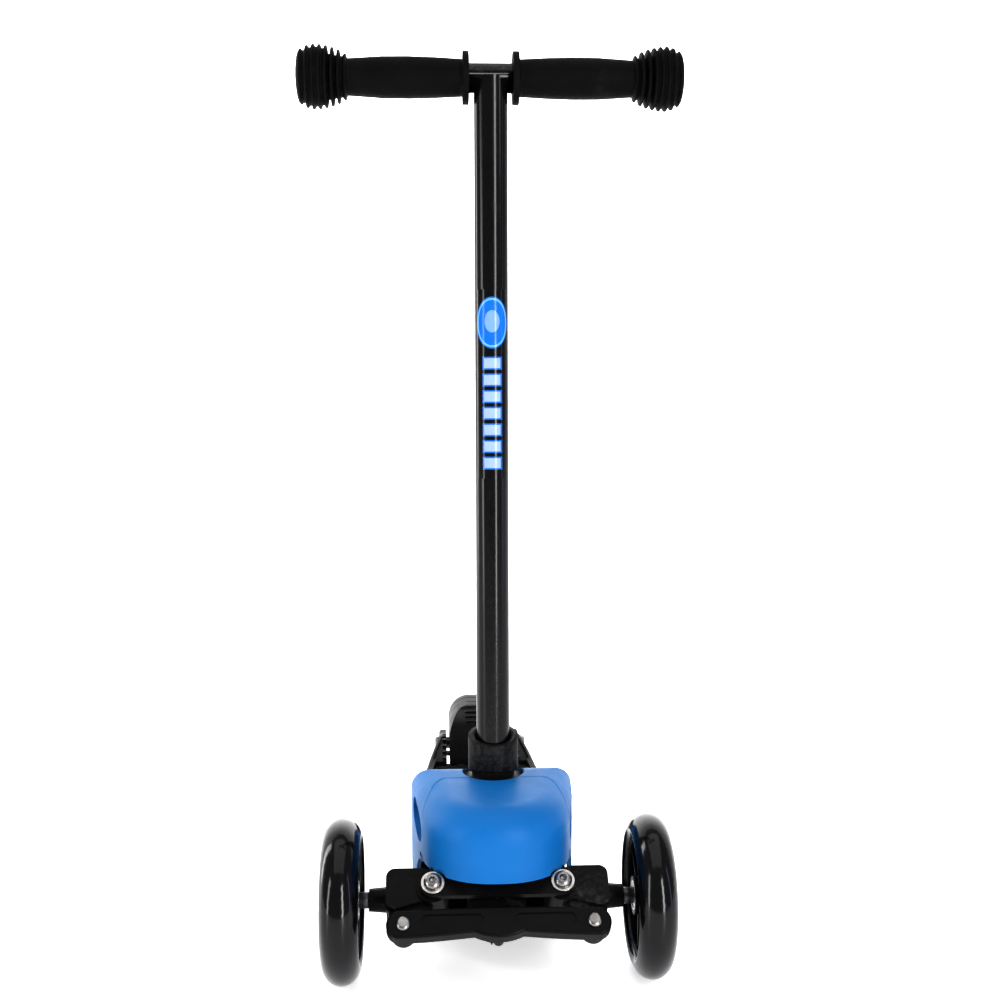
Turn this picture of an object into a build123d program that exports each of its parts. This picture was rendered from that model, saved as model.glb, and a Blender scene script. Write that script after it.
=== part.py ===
from build123d import *
import os
from math import sin, cos, radians, degrees, atan2, hypot, pi

# ---------------------------------------------------------------- dimensions (mm)
# X is across the scooter, Y runs rearward, Z is up.  In this script the
# front axle line is Y = 0; every solid is moved by -YC before it is written
# so that the origin lies at the bottom centre of the bounding box.
WHEEL_R = 60.0            # front wheel radius
WHEEL_W = 28.0            # front wheel width
TRACK = 113.5             # half track, wheel mid-plane
REAR_R = 40.0             # rear wheel radius
REAR_W = 28.0
REAR_Y = 437.0            # rear axle
REAR_Z = 40.0
STEM_R = 12.7             # steel stem tube, 25.4 mm
STEM_WALL = 1.5
BAR_R = 11.0              # handlebar tube, 22 mm
RAKE = 4.3                # degrees, stem leans rearward
STEM_Y = 58.5             # stem axis at Z = 135
STEM_Z = 135.0
BAR_Z = 664.0             # handlebar axis height
HALF_BAR = 145.5          # to the outside of the grips
KP_X = 47.0               # kingpins
KP_Y = -5.0
KP_Z = 60.0
KP_ANGLE = 50.0           # elevation of the kingpin axes, leaning forward
ARM_S = 21.0              # tie pin, outboard of the kingpin
ARM_W = -30.0             # tie pin, in front of and below the kingpin
PIN_R = 3.0               # tie pin radius
BEAR_R = 11.0             # 22 x 8 x 7 ball bearing
BEAR_W = 7.0
AXLE_R = 4.0
DECK_TOP = 44.0           # surface the mat lies on
DECK_BOT = 20.0
NOSE_TOP = 138.0
WALL = 3.0
Y_FRONT = -WHEEL_R
Y_REAR = REAR_Y + 50.0
YC = (Y_FRONT + Y_REAR) / 2

D = Vector(0, sin(radians(RAKE)), cos(radians(RAKE)))      # along the stem
V = Vector(0, cos(radians(RAKE)), -sin(radians(RAKE)))     # square to it, rearward
BASE = Vector(0, STEM_Y, STEM_Z)
SA, CA = sin(radians(KP_ANGLE)), cos(radians(KP_ANGLE))
N = Vector(0, -CA, SA)                                     # kingpin axis
W = Vector(0, SA, CA)

out = {}


def on_stem(z):
    return BASE + D * ((z - STEM_Z) / D.Z)


def cyl(p, d, r, h):
    d = Vector(d)
    x = Vector(1, 0, 0) if abs(d.normalized().X) < 0.9 else Vector(0, 1, 0)
    x = (x - d.normalized() * x.dot(d.normalized())).normalized()
    return Plane(origin=p, x_dir=x, z_dir=d) * Cylinder(r, h, align=(Align.CENTER, Align.CENTER, Align.MIN))


def cone(p, d, r0, r1, h):
    d = Vector(d)
    x = Vector(1, 0, 0) if abs(d.normalized().X) < 0.9 else Vector(0, 1, 0)
    x = (x - d.normalized() * x.dot(d.normalized())).normalized()
    return Plane(origin=p, x_dir=x, z_dir=d) * Cone(r0, r1, h, align=(Align.CENTER, Align.CENTER, Align.MIN))


def box(x0, x1, y0, y1, z0, z1):
    return Pos((x0 + x1) / 2, (y0 + y1) / 2, (z0 + z1) / 2) * Box(x1 - x0, y1 - y0, z1 - z0)


def rev_x(points):
    """Solid of revolution about the X axis from (x, r) points."""
    f = make_face(Plane.XY * Polyline(*[(x, r) for x, r in points], close=True))
    return revolve(f, Axis.X, 360)


def local(k):
    """Kingpin frame: local x = world X, local y = W, local z = N."""
    return Plane(origin=(k, KP_Y, KP_Z), x_dir=(1, 0, 0), z_dir=N)


def knp(u, w, t):
    return Vector(u, KP_Y, KP_Z) + W * w + N * t


def mirror_x(s):
    return mirror(s, about=Plane.YZ)


def one(s):
    """Keep only the solids of a result, as one part."""
    sols = []
    for x in (s if isinstance(s, (list, tuple)) else [s]):
        sols += list(x.solids())
    if not sols:
        return s
    return sols[0] if len(sols) == 1 else Part() + sols


def sub(a, *bs):
    for b in bs:
        a = one(one(a) - one(b))
    return a


def add(a, *bs):
    for b in bs:
        a = one(one(a) + one(b))
    return a


def try_fillet(s, edges, radii):
    for r in radii:
        try:
            f = fillet(edges, r)
            if f.is_valid and f.volume > 0:
                return f
        except Exception:
            pass
    return s


# ================================================================ T-bar
bar_c = on_stem(BAR_Z)
stem_lo = on_stem(66.0)
stem_len = (bar_c - stem_lo).length
stem = cyl(stem_lo, D, STEM_R, stem_len)
bar = cyl((-HALF_BAR + 3.0, bar_c.Y, bar_c.Z), (1, 0, 0), BAR_R, 2 * (HALF_BAR - 3.0))
# the two tubes meet in a smooth weld fillet
tbar = stem + bar
tbar = try_fillet(tbar, [e for e in tbar.edges() if e.geom_type not in (GeomType.CIRCLE, GeomType.LINE)
                         and (e.center() - bar_c).length < 26], (5.0, 4.0, 3.0, 2.0, 1.2))
tbar = tbar - cyl(stem_lo - D * 1, D, STEM_R - STEM_WALL, stem_len - 6.0)
tbar = tbar - cyl((-HALF_BAR, bar_c.Y, bar_c.Z), (1, 0, 0), BAR_R - 1.5, HALF_BAR - 15.0) \
    - cyl((HALF_BAR, bar_c.Y, bar_c.Z), (-1, 0, 0), BAR_R - 1.5, HALF_BAR - 15.0)
out["t_bar_tube"] = tbar

# moulded plug in the stem's foot
out["stem_plug"] = cyl(stem_lo, D, STEM_R - STEM_WALL, 14) - cyl(stem_lo + D * 3, D, 7.5, 12)

# grips: inner flange, tapered body, ribbed bulb, domed end
rib_x = [2.6, 7.3, 12.0, 16.7, 21.4, 26.1, 30.8, 35.5]
rib_r = [20.2, 22.7, 23.7, 23.5, 22.7, 21.5, 19.7, 17.0]
groove_r = [19.0, 21.0, 21.6, 20.6, 16.6, 15.6, 15.0]


def grip_profile():
    L = 129.0
    pts = [(0.0, BAR_R), (0.0, 19.4), (0.6, 19.6), (4.1, 19.6), (4.7, 19.4), (4.7, 13.7),
           (25.0, 14.8), (45.0, 15.4), (65.0, 15.2), (80.0, 14.2), (89.0, 13.6)]
    for i in range(7, -1, -1):
        xc = L - 1.2 - rib_x[i]
        h = 1.15
        r = rib_r[i]
        g_in = 13.6 if i == 7 else groove_r[i]
        pts += [(xc - h - 0.55, g_in), (xc - h * 0.75, r - 0.5), (xc - 0.3, r), (xc + 0.3, r), (xc + h * 0.75, r - 0.5)]
        if i > 0:
            pts += [(xc + h + 0.55, groove_r[i - 1])]
    pts += [(L - 2.0, 18.2), (L - 1.2, 15.5), (L - 0.4, 10.5), (L, 5.0), (L, 0.0), (L - 2.6, 0.0), (L - 2.6, BAR_R)]
    return pts


gp = grip_profile()
grip = rev_x(gp)
x_in = HALF_BAR - 129.0
out["right_grip"] = Pos(x_in, bar_c.Y, bar_c.Z) * grip            # +X side
out["left_grip"] = mirror_x(Pos(x_in, bar_c.Y, bar_c.Z) * grip)

# ================================================================ stem socket and collar
SOCK_R = 21.5
sock_lo = on_stem(57.0)
sock_hi = on_stem(130.8)
sock = cyl(sock_lo, D, SOCK_R, (sock_hi - sock_lo).length)
LATCH_Z = 116.0
latch_p = on_stem(LATCH_Z)
bore_c = cyl(on_stem(64.0), D, STEM_R + 0.06, 200)
sock = sock - bore_c
# slot for the latch plate
slot_pl = Plane(origin=latch_p, x_dir=(1, 0, 0), z_dir=D)
sock = sock - slot_pl * (Pos(0, 2, 0) * Box(35.0, 60.0, 4.0))
# plate of the socket that screws down on the deck
flange = box(-34, 34, 35.2, STEM_Y + 42, 50.0, 56.0)
flange = flange + (box(-3, 3, STEM_Y - 22, STEM_Y + 38, 55.9, 92) - cyl(sock_lo - D * 10, D, SOCK_R - 1, 120)
                   - Plane(origin=(0, STEM_Y + 38, 56), x_dir=(1, 0, 0), z_dir=(0, 0.87, 0.5)) * Pos(0, 0, 20) * Box(20, 120, 40)
                   - Plane(origin=(0, STEM_Y - 22, 56), x_dir=(1, 0, 0), z_dir=(0, -0.87, 0.5)) * Pos(0, 0, 20) * Box(20, 120, 40))
socket = sock + flange
socket = socket - cyl(on_stem(64.0), D, STEM_R + 0.06, 200)
SCREWS = [(-30, 44.0), (30, 44.0), (-26, 92.5), (26, 92.5)]
for sx, sy in SCREWS:
    socket = socket - cyl((sx, sy, 40), (0, 0, 1), 2.05, 30)
out["stem_socket"] = socket

# collar round the mouth: top slants down to the front, foot slants up to the front
COLLAR_R = 19.3
c_lo = on_stem(124.0)
collar = cyl(c_lo, D, COLLAR_R, 60)
top_pl = Plane(origin=on_stem(165.5), x_dir=(1, 0, 0), z_dir=(0, -sin(radians(10.6)), cos(radians(10.6))))
bot_pl = Plane(origin=on_stem(138.0), x_dir=(1, 0, 0), z_dir=(0, -sin(radians(15.0)), -cos(radians(15.0))))
collar = collar - top_pl * Pos(0, 0, 40) * Box(120, 120, 80) - bot_pl * Pos(0, 0, 40) * Box(120, 120, 80)
collar = try_fillet(collar, [e for e in collar.edges() if (e.center() - on_stem(165.5)).length < 8], (4.0, 3.0, 2.0))
collar = try_fillet(collar, [e for e in collar.edges() if (e.center() - on_stem(138.0)).length < 6], (1.0, 0.6))
collar = collar - cyl(on_stem(120), D, STEM_R + 0.06, 80)
collar = collar - (cyl(on_stem(157.5), D, STEM_R + 1.6, 40))
out["stem_collar"] = collar
# neck sleeve between socket mouth and collar, with the dark cone round it
neck = cyl(sock_hi, D, 16.5, 16) + cyl(sock_hi, D, 23.6, 3.6) - cyl(on_stem(120), D, STEM_R + 0.06, 80)
neck = neck - (Plane(origin=on_stem(137.95), x_dir=(1, 0, 0), z_dir=(0, sin(radians(15.0)), cos(radians(15.0)))) * Pos(0, 0, 40) * Box(120, 120, 80))
out["neck_sleeve"] = neck

# latch plate with a thumb pad at the back; it slides forward to free the stem
lp = Box(33.0, 33.6, 3.4)
lp = lp + Pos(0, 29.0, 0) * Box(16.0, 34.0, 3.4)
# hole long enough to the rear for the plate's forward travel
hole = Cylinder(STEM_R + 0.35, 8) + Pos(0, 3.4, 0) * Cylinder(STEM_R + 0.35, 8) + Pos(0, 1.7, 0) * Box(2 * STEM_R + 0.7, 3.4, 8)
lp = lp - hole
pad = Pos(0, 47.5, -1.0) * Box(18.0, 5.0, 15.0)
pad = try_fillet(pad, pad.edges(), (1.8, 1.2))
lp = lp + pad
release = slot_pl * lp
out["release_button"] = release
# compression spring that pushes the latch plate back
out["release_spring"] = extrude(Plane(origin=latch_p + V * -21.0, x_dir=(1, 0, 0), z_dir=V) * (Circle(1.6) - Circle(1.0)), 4.1)

# ================================================================ nose mouldings
NOSE_R = 24.0      # rounding of the top rim


def nose_outline(o):
    """Plan of the nose, drawn o inside its outer skin."""
    pts = [(0, -41.0 + o), (20 - o * 0.25, -38.2 + o * 0.98), (36.5 - o * 0.62, -28.5 + o * 0.8), (49.6 - o * 0.93, -10.0 + o * 0.35),
           (56.0 - o, 16.0), (60.4 - o, 48.0), (63.2 - o, 84.0), (64.4 - o, 120.0), (63.6 - o, 160.0), (62.6 - o, 186.0)]
    full = [(-x, y) for x, y in reversed(pts[1:])] + pts
    return make_face([Spline(*full), Line(full[-1], full[0])])


def nose_solid(off):
    zt = NOSE_TOP - off
    r = max(NOSE_R - off, 4.0)
    zb = zt - r
    low = extrude(Plane.XY.offset(20) * nose_outline(off), zb - 20)
    cap = loft([Plane.XY.offset(zb + r * sin(radians(t))) * nose_outline(off + r * (1 - cos(radians(t)))) for t in (0, 18, 36, 54, 72, 90)])
    s = one(low + cap)
    # the back slopes down to the deck
    top = zt

    def bend(p0, p1, p2, r):
        v0 = (Vector(*p0) - Vector(*p1)).normalized()
        v1 = (Vector(*p2) - Vector(*p1)).normalized()
        half = radians(v0.get_angle(v1)) / 2
        tl = r / (sin(half) / cos(half))
        c = Vector(*p1) + (v0 + v1).normalized() * (r / sin(half))
        return Vector(*p1) + v0 * tl, c + (Vector(*p1) - c).normalized() * r, Vector(*p1) + v1 * tl
    q = [(40, top), (72, top), (146 - off, 66 - off), (200, 43.0 - off)]
    a0, m0, a1 = bend(q[0], q[1], q[2], 38 - off)
    b0, m1, b1 = bend(q[1], q[2], q[3], 60 + off)
    wire = [Line((a0.X, a0.Y + 30), (a0.X, a0.Y)), ThreePointArc((a0.X, a0.Y), (m0.X, m0.Y), (a1.X, a1.Y)), Line((a1.X, a1.Y), (b0.X, b0.Y)),
            ThreePointArc((b0.X, b0.Y), (m1.X, m1.Y), (b1.X, b1.Y)), Line((b1.X, b1.Y), q[3]), Line(q[3], (200, a0.Y + 30)), Line((200, a0.Y + 30), (a0.X, a0.Y + 30))]
    s = one(s - extrude(Plane(origin=(-90, 0, 0), x_dir=(0, 1, 0), z_dir=(1, 0, 0)) * make_face(wire), 180))
    return s


outer = nose_solid(0.0)
inner = nose_solid(WALL)
shell = outer - inner
# region in front of the parting line between hood and shroud
part_curve = [(-90, 20), (6, 20), (6, 104), (10, 118), (20, 129), (36, 136), (STEM_Y - 4, 139), (STEM_Y - 4, 150), (-90, 150)]


def front_region(gap, yback=0):
    p = [(y - gap if y > 0 else y, z + (gap if 100 < z < 149 else 0)) for y, z in part_curve]
    w = [Line(p[0], p[1]), Line(p[1], p[2]), Spline(p[2], p[3], p[4], p[5], p[6], tangents=[(0, 1), (1, 0.02)]),
         Line(p[6], p[7]), Line(p[7], p[8]), Line(p[8], p[0])]
    return extrude(Plane(origin=(-90, 0, 0), x_dir=(0, 1, 0), z_dir=(1, 0, 0)) * make_face(w), 180)


ring = cyl(on_stem(100), D, 24.0, 80)
hood = one(one(shell & front_region(0.25)) - ring)
# foot of the hood, clear of the bracket plate and the kingpin heads
hood = sub(hood, box(-90, 90, -90, 90, 0, 88.0))
for sx in (-KP_X, KP_X):
    hood = sub(hood, cyl(Vector(sx, KP_Y, KP_Z) + N * 23.5, N, 10.2, 6.0), cyl(Vector(sx, KP_Y, KP_Z) + N * 29.0, N, 9.2, 9.0))
hood = sub(hood, extrude(Plane(origin=Vector(0, KP_Y, KP_Z) + N * 23.5, x_dir=(1, 0, 0), z_dir=N) * make_hull((Sketch() + [Pos(-KP_X, 0) * Circle(10.2), Pos(KP_X, 0) * Circle(10.2), Pos(-30, 20) * Circle(6.4), Pos(30, 20) * Circle(6.4)]).edges()), 6.0))
# two screw posts inside
for sx in (-28, 28):
    hood = add(hood, cyl((sx, -10, 99.0), (0, 0, 1), 4.2, NOSE_TOP - WALL - 0.4 - 99.0))
    hood = sub(hood, cyl((sx, -10, 90.0), (0, 0, 1), 1.5, 22.0))
out["hood_screws"] = Compound(children=[cyl((sx, -10, 84.9), (0, 0, 1), 1.45, 24.0) + cyl((sx, -10, 82.5), (0, 0, 1), 2.9, 2.5) for sx in (-28, 28)])
# lip that the hood's foot turns inwards
out["front_hood"] = hood
shroud = one(one(shell - front_region(-0.25)) - ring)
arch = extrude(Plane(origin=(-90, 6, 46), x_dir=(0, 1, 0), z_dir=(1, 0, 0)) * Circle(40), 180)
shroud = sub(shroud, arch, box(-90, 90, -90, 60, 0, 50), box(-90, 90, 0, 240, 0, 48.0))
# window for the thumb pad
pad_c = latch_p + V * 47.5 - D * 1.0
shroud = one(shroud) - Plane(origin=pad_c, x_dir=(1, 0, 0), z_dir=D) * Box(19.4, 60, 16.6)
# blind teardrop recess and two slots in each cheek
shroud = one(shroud)
floor_out = nose_solid(6.0)
floor_in = nose_solid(8.0)
yz0 = Plane(origin=(0, 0, 0), x_dir=(0, 1, 0), z_dir=(1, 0, 0))


def tear(g):
    return make_face([Spline((12 - g, 105), (26, 117 + g), (46, 119 + g), (68 + g, 107), tangents=[(0.1, 1), (0.5, -1)]),
                      Spline((68 + g, 107), (46, 98.5 - g), (24, 95.5 - g), (12 - g, 105), tangents=[(-0.5, -1), (0.1, 1)])])


for s in (-1, 1):
    rec = extrude(yz0 * tear(0.0), 90 * s)
    liner = one(one(extrude(yz0 * tear(2.4), 90 * s) & inner) - floor_in)
    liner = one(liner - front_region(-0.25))
    shroud = add(shroud, liner)
    shroud = sub(shroud, one(rec - floor_out))
    for zc in (88.0, 79.0):
        shroud = sub(shroud, extrude(Plane(origin=(0, 14, zc), x_dir=(0, 1, 0), z_dir=(1, 0, 0)) * SlotOverall(13, 3.6), 90 * s))
out["nose_shroud"] = shroud
# ================================================================ steering bracket and linkage
BR_T = 5.0        # bracket plate thickness
GAP = 24.0        # half height of the knuckle mouth, along the kingpin


def lay(k, sk, t0, t1):
    return extrude(Plane(origin=knp(k, 0, t0), x_dir=(1, 0, 0), z_dir=N) * sk, t1 - t0)


def plate_sketch():
    return make_hull((Sketch() + [Pos(-KP_X, 0) * Circle(9.8), Pos(KP_X, 0) * Circle(9.8), Pos(-30, 20) * Circle(6), Pos(30, 20) * Circle(6)]).edges())


psk = plate_sketch()
bracket = lay(0, psk, GAP, GAP + BR_T) + lay(0, psk, -GAP - BR_T, -GAP)
web = lay(0, Pos(0, 21.0) * RectangleRounded(70, 8.0, 2.0), -GAP - 0.5, GAP + 0.5)
bracket = bracket + web
for x in (-20, 0, 20):
    bracket = bracket + lay(0, Pos(x, 12) * Rectangle(3.0, 20), -GAP - 0.5, GAP + 0.5)
# round housing of the centring spring
HUB_W = -3.0
hub = lay(0, Pos(0, HUB_W) * Circle(21.0), -20, 17.4)
hub = hub - lay(0, Pos(0, HUB_W) * Circle(17.6), -16, 13.8)
bracket = bracket - lay(0, Pos(0, HUB_W) * Circle(20.0), -19.5, 17.0) + hub
# slot the legs come out of
bracket = bracket - lay(0, Pos(0, -20) * Rectangle(26, 16), -4.0, 12.5)
# foot that bolts to the deck
foot = box(-38, 38, 22, 52, 44.0, 50.0)
bracket = add(bracket, foot, lay(0, Pos(0, 21.0) * Rectangle(64.0, 8.0), -33.5, -GAP))
for s in (-1, 1):
    bracket = bracket - cyl(knp(s * KP_X, 0, -60), N, AXLE_R + 0.05, 120)
bracket = bracket - lay(0, Pos(0, HUB_W) * Circle(4.05), -30, 20)
for s in (-30, 30):
    bracket = bracket - cyl((s, 44, 30), (0, 0, 1), 2.05, 40)
for s in (-28, 28):
    bracket = bracket - cyl((s, -10, 80), (0, 0, 1), 1.8, 24)
bracket = sub(bracket, box(-34.5, 34.5, 35.0, 102, 49.99, 56.5), box(-3.3, 3.3, 36.0, 60, 50, 93))
# room for the stem socket
bracket = bracket - cyl(on_stem(40), D, SOCK_R + 0.3, 140)
out["steering_bracket"] = bracket

# post and torsion spring that bring the wheels back to straight ahead
out["spring_post"] = lay(0, Pos(0, HUB_W) * Circle(4.0), -28.5, 13.3)
out["spring_post"] = out["spring_post"] - lay(0, Pos(0, HUB_W) * Circle(1.6), -24, -10)
coil = lay(0, Pos(0, HUB_W) * (Circle(8.6) - Circle(6.6)), -2.0, 9.0)
PEG_W = -33.5
spring = add(coil, cyl(knp(-4.9, HUB_W - 5.4, 0.5), -W, 1.0, 28.0), cyl(knp(4.9, HUB_W - 5.4, 6.5), -W, 1.0, 28.0))
out["centring_spring"] = spring


ARM_T0 = 7.5      # underside of the knuckle arm that carries the tie pin


def knuckle(s):
    k = s * KP_X
    barrel = lay(k, Circle(12.0), -GAP + 0.5, GAP - 0.5)
    # outboard block with an upper and a lower lobe
    sk = make_hull((Sketch() + [Pos(s * 6, 0) * Circle(9), Pos(s * 27.5, 9.5) * Circle(6.5), Pos(s * 8, 8) * Circle(8), Pos(s * 27.5, -8.5) * Circle(6.5)]).edges())
    b1 = lay(k, sk, -9.0, 21.5)
    sk2 = make_hull((Sketch() + [Pos(s * 4, -4) * Circle(8), Pos(s * 26, -10) * Circle(7), Pos(s * ARM_S, ARM_W) * Circle(8.5)]).edges())
    b2 = lay(k, sk2, ARM_T0, 17.2)
    kn = barrel + b1 + b2
    # stub that carries the wheel
    ax0 = Vector(s * (KP_X + 24), 0, 60)
    kn = kn + cone(ax0, (s, 0, 0), 10.2, 8.2, 23.0)
    kn = kn + cone(ax0 - Vector(s * 16, 0, 0), (s, 0, 0), 9.0, 10.2, 16.0)
    kn = kn - cyl(knp(k, 0, -60), N, 5.55, 120)
    kn = kn - cyl(knp(k + s * ARM_S, ARM_W, -20), N, PIN_R + 0.04, 60)
    # hole for the axle bolt
    kn = kn - cyl((s * (KP_X + 8.5), 0, 60), (s, 0, 0), AXLE_R, 80)
    return kn


out["right_knuckle"] = knuckle(1)
out["left_knuckle"] = knuckle(-1)
for s, nm in ((1, "right"), (-1, "left")):
    k = s * KP_X
    bush = None
    for t0 in (-GAP + 0.4, GAP - 14.4):
        b = lay(k, Circle(5.5) - Circle(AXLE_R + 0.05), t0, t0 + 14.0)
        bush = b if bush is None else bush + b
    out[nm + "_knuckle_bushes"] = bush

# kingpins: button head, washer, shank, nut
pins, washers, nuts = [], [], []
for s in (-1, 1):
    k = s * KP_X
    t1 = GAP + BR_T
    p = lay(k, Circle(AXLE_R), -GAP - BR_T - 8.5, t1 + 1.6)
    head = lay(k, Circle(6.6), t1 + 1.5, t1 + 6.0)
    head = try_fillet(head, [head.edges().sort_by(lambda e: e.center().dot(N))[-1]], (3.6, 3.0))
    head = head - extrude(Plane(origin=knp(k, 0, t1 + 3.4), x_dir=(1, 0, 0), z_dir=N) * RegularPolygon(2.6, 6), 5)
    pins.append(p + head)
    wsh = lay(k, Circle(8.6) - Circle(AXLE_R + 0.2), t1, t1 + 1.5)
    washers.append(wsh)
    wsh2 = lay(k, Circle(8.0) - Circle(AXLE_R + 0.2), -GAP - BR_T - 1.5, -GAP - BR_T)
    washers.append(wsh2)
    nut = lay(k, RegularPolygon(7.2, 6) - Circle(AXLE_R), -GAP - BR_T - 8.0, -GAP - BR_T - 1.5)
    nuts.append(nut)
out["kingpin_bolts"] = Compound(children=pins)
out["kingpin_washers"] = Compound(children=washers)
out["kingpin_nuts"] = Compound(children=nuts)

# tie bar joining the two knuckles; its right-hand hole is open by PIN_SLACK
PIN_SLACK = 0.9
TB0, TB1 = 17.6, 27.6
tw = KP_X + ARM_S
top_l = [(-tw - 4.5, ARM_W + 10.6), (-tw + 12, ARM_W + 11.0), (-30, ARM_W + 12.0), (0, ARM_W + 12.5), (30, ARM_W + 12.0), (tw - 12, ARM_W + 11.0), (tw + 4.5, ARM_W + 10.6)]
bot_l = [(tw + 4.5, ARM_W - 10.2), (tw - 14, ARM_W - 9.6), (24, ARM_W - 7.2), (17.5, ARM_W - 6.6)]
tb = make_face([Spline(*top_l), ThreePointArc(top_l[-1], (tw + 12.2, ARM_W), bot_l[0]), Spline(*bot_l),
                ThreePointArc((17.5, ARM_W - 6.6), (0, ARM_W - 10.6), (-17.5, ARM_W - 6.6)),
                Spline(*[(-x, y) for x, y in reversed(bot_l)]), ThreePointArc((-tw - 4.5, ARM_W - 10.2), (-tw - 12.2, ARM_W), top_l[0])])
bar_s = lay(0, tb, TB0, TB1)
bar_s = try_fillet(bar_s, [e for e in bar_s.edges() if (e.center() - knp(0, 0, 0)).dot(N) > TB1 - 0.2], (2.0, 1.5, 1.0))
for s in (-1, 1):
    ch = lay(0, Pos(s * 33, ARM_W + 1.5) * RectangleRounded(44, 10.5, 4.0), TB1 - 1.2, TB1 + 3)
    bar_s = bar_s - ch
bar_s = bar_s + cyl(knp(0, PEG_W, TB0 + 0.5), -N, 3.8, 13.5)
bar_s = bar_s - cyl(knp(-tw, ARM_W, -20), N, PIN_R + 0.04, 80) - cyl(knp(tw, ARM_W, -20), N, PIN_R + PIN_SLACK, 80)
out["tie_bar"] = bar_s
for s, nm in ((1, "right"), (-1, "left")):
    k = s * tw
    r_sh = PIN_R
    pin = lay(k, Pos(0, ARM_W) * Circle(r_sh), ARM_T0 - 1.8, TB1 + 0.5)
    # collar so the bar is not pinched, and a domed head
    hd = lay(k, Pos(0, ARM_W) * Circle(5.3), TB1 + 0.3, TB1 + 3.0)
    hd = try_fillet(hd, [hd.edges().sort_by(lambda e: e.center().dot(N))[-1]], (2.4, 2.0, 1.5))
    clip = lay(k, Pos(0, ARM_W) * (Circle(5.2)), ARM_T0 - 2.5, ARM_T0 - 0.2)
    out[nm + "_tie_pin"] = pin + hd + clip

# ================================================================ front wheels
def tyre_solid(R, Wd, r_in, r_face):
    """Ring about X: tread arc, rounded shoulders, flat side down to r_face."""
    h = Wd / 2
    sk = make_face([ThreePointArc((-h + 1.0, R - 9.0), (0, R), (h - 1.0, R - 9.0)),
                    Line((h - 1.0, R - 9.0), (h, R - 11.5)),
                    Line((h, R - 11.5), (h - 1.4, r_face)),
                    Line((h - 1.4, r_face), (h - 4.0, r_in)),
                    Line((h - 4.0, r_in), (-h + 4.0, r_in)),
                    Line((-h + 4.0, r_in), (-h + 1.4, r_face)),
                    Line((-h + 1.4, r_face), (-h, R - 11.5)),
                    Line((-h, R - 11.5), (-h + 1.0, R - 9.0))])
    return revolve(sk, Axis.X, 360)


def hub_solid(r_out, Wd, spokes, r_bear=BEAR_R, bw=BEAR_W, half=12.0):
    """Moulded core: rim, web with openings, bearing boss."""
    h = Wd / 2
    rim = rev_x([(-h + 4.0, r_out), (h - 4.0, r_out), (h - 4.0, r_out - 3.0), (-h + 4.0, r_out - 3.0)])
    boss = rev_x([(-half, r_bear + 3.0), (half, r_bear + 3.0), (half, 0), (-half, 0)])
    web = rev_x([(-2.2, r_out - 2.5), (2.2, r_out - 2.5), (2.2, 8), (-2.2, 8)])
    hub = rim + web + boss
    for i in range(spokes):
        a = 360 / spokes * i
        rib = Rot(a, 0, 0) * box(-h + 6.0, h - 6.0, -1.6, 1.6, r_bear + 1.0, r_out - 1.5)
        hub = hub + rib
    hub = hub - rev_x([(-half - 1, r_bear), (-half + bw + 0.2, r_bear), (-half + bw + 0.2, 0), (-half - 1, 0)]) \
        - rev_x([(half + 1, r_bear), (half - bw - 0.2, r_bear), (half - bw - 0.2, 0), (half + 1, 0)]) \
        - rev_x([(-half, 8.6), (half, 8.6), (half, 0), (-half, 0)])
    return hub


def bearing(x):
    """22 x 8 x 7 ball bearing, races and shields as one ring with grooves."""
    h = BEAR_W / 2
    return Pos(x, 0, 0) * rev_x([(-h, BEAR_R), (h, BEAR_R), (h, 9.2), (h - 0.5, 9.0), (h - 0.5, 6.3), (h, 6.1), (h, AXLE_R + 0.04),
                                 (-h, AXLE_R + 0.04), (-h, 6.1), (-h + 0.5, 6.3), (-h + 0.5, 9.0), (-h, 9.2)])


HUB_R = 43.0
tyre_f = tyre_solid(WHEEL_R, WHEEL_W, HUB_R, HUB_R + 2.0)
hub_f = hub_solid(HUB_R, WHEEL_W, 6)
HALF_B = 12.0
for s, nm in ((1, "right"), (-1, "left")):
    at = Pos(s * TRACK, 0, WHEEL_R)
    out[nm + "_front_tyre"] = at * tyre_f
    out[nm + "_front_hub"] = at * (hub_f if s > 0 else mirror_x(hub_f))
    out[nm + "_front_bearings"] = Compound(children=[at * bearing(-HALF_B + BEAR_W / 2), at * bearing(HALF_B - BEAR_W / 2)])
    out[nm + "_front_spacer"] = at * rev_x([(-HALF_B + BEAR_W, 5.8), (HALF_B - BEAR_W, 5.8), (HALF_B - BEAR_W, AXLE_R + 0.05), (-HALF_B + BEAR_W, AXLE_R + 0.05)])
    # axle bolt from outside, into the knuckle stub
    xs = KP_X + 9.0
    ax = cyl((s * xs, 0, WHEEL_R), (s, 0, 0), AXLE_R, TRACK + HALF_B + 0.3 - xs)
    hd = cyl((s * (TRACK + HALF_B + 0.2), 0, WHEEL_R), (s, 0, 0), 6.5, 4.4)
    hd = try_fillet(hd, [hd.edges().sort_by(Axis.X)[-1 if s > 0 else 0]], (2.2, 1.5))
    hd = hd - extrude(Plane(origin=(s * (TRACK + HALF_B + 2.4), 0, WHEEL_R), x_dir=(0, 1, 0), z_dir=(s, 0, 0)) * RegularPolygon(2.5, 6), 5)
    out[nm + "_front_axle"] = ax + hd
    # distance ring between knuckle stub and inner bearing
    x0 = KP_X + 47.0
    out[nm + "_axle_spacer"] = cyl((s * x0, 0, WHEEL_R), (s, 0, 0), 6.0, TRACK - HALF_B - 0.2 - x0) - cyl((s * (x0 - 1), 0, WHEEL_R), (s, 0, 0), AXLE_R + 0.05, 40)

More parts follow.
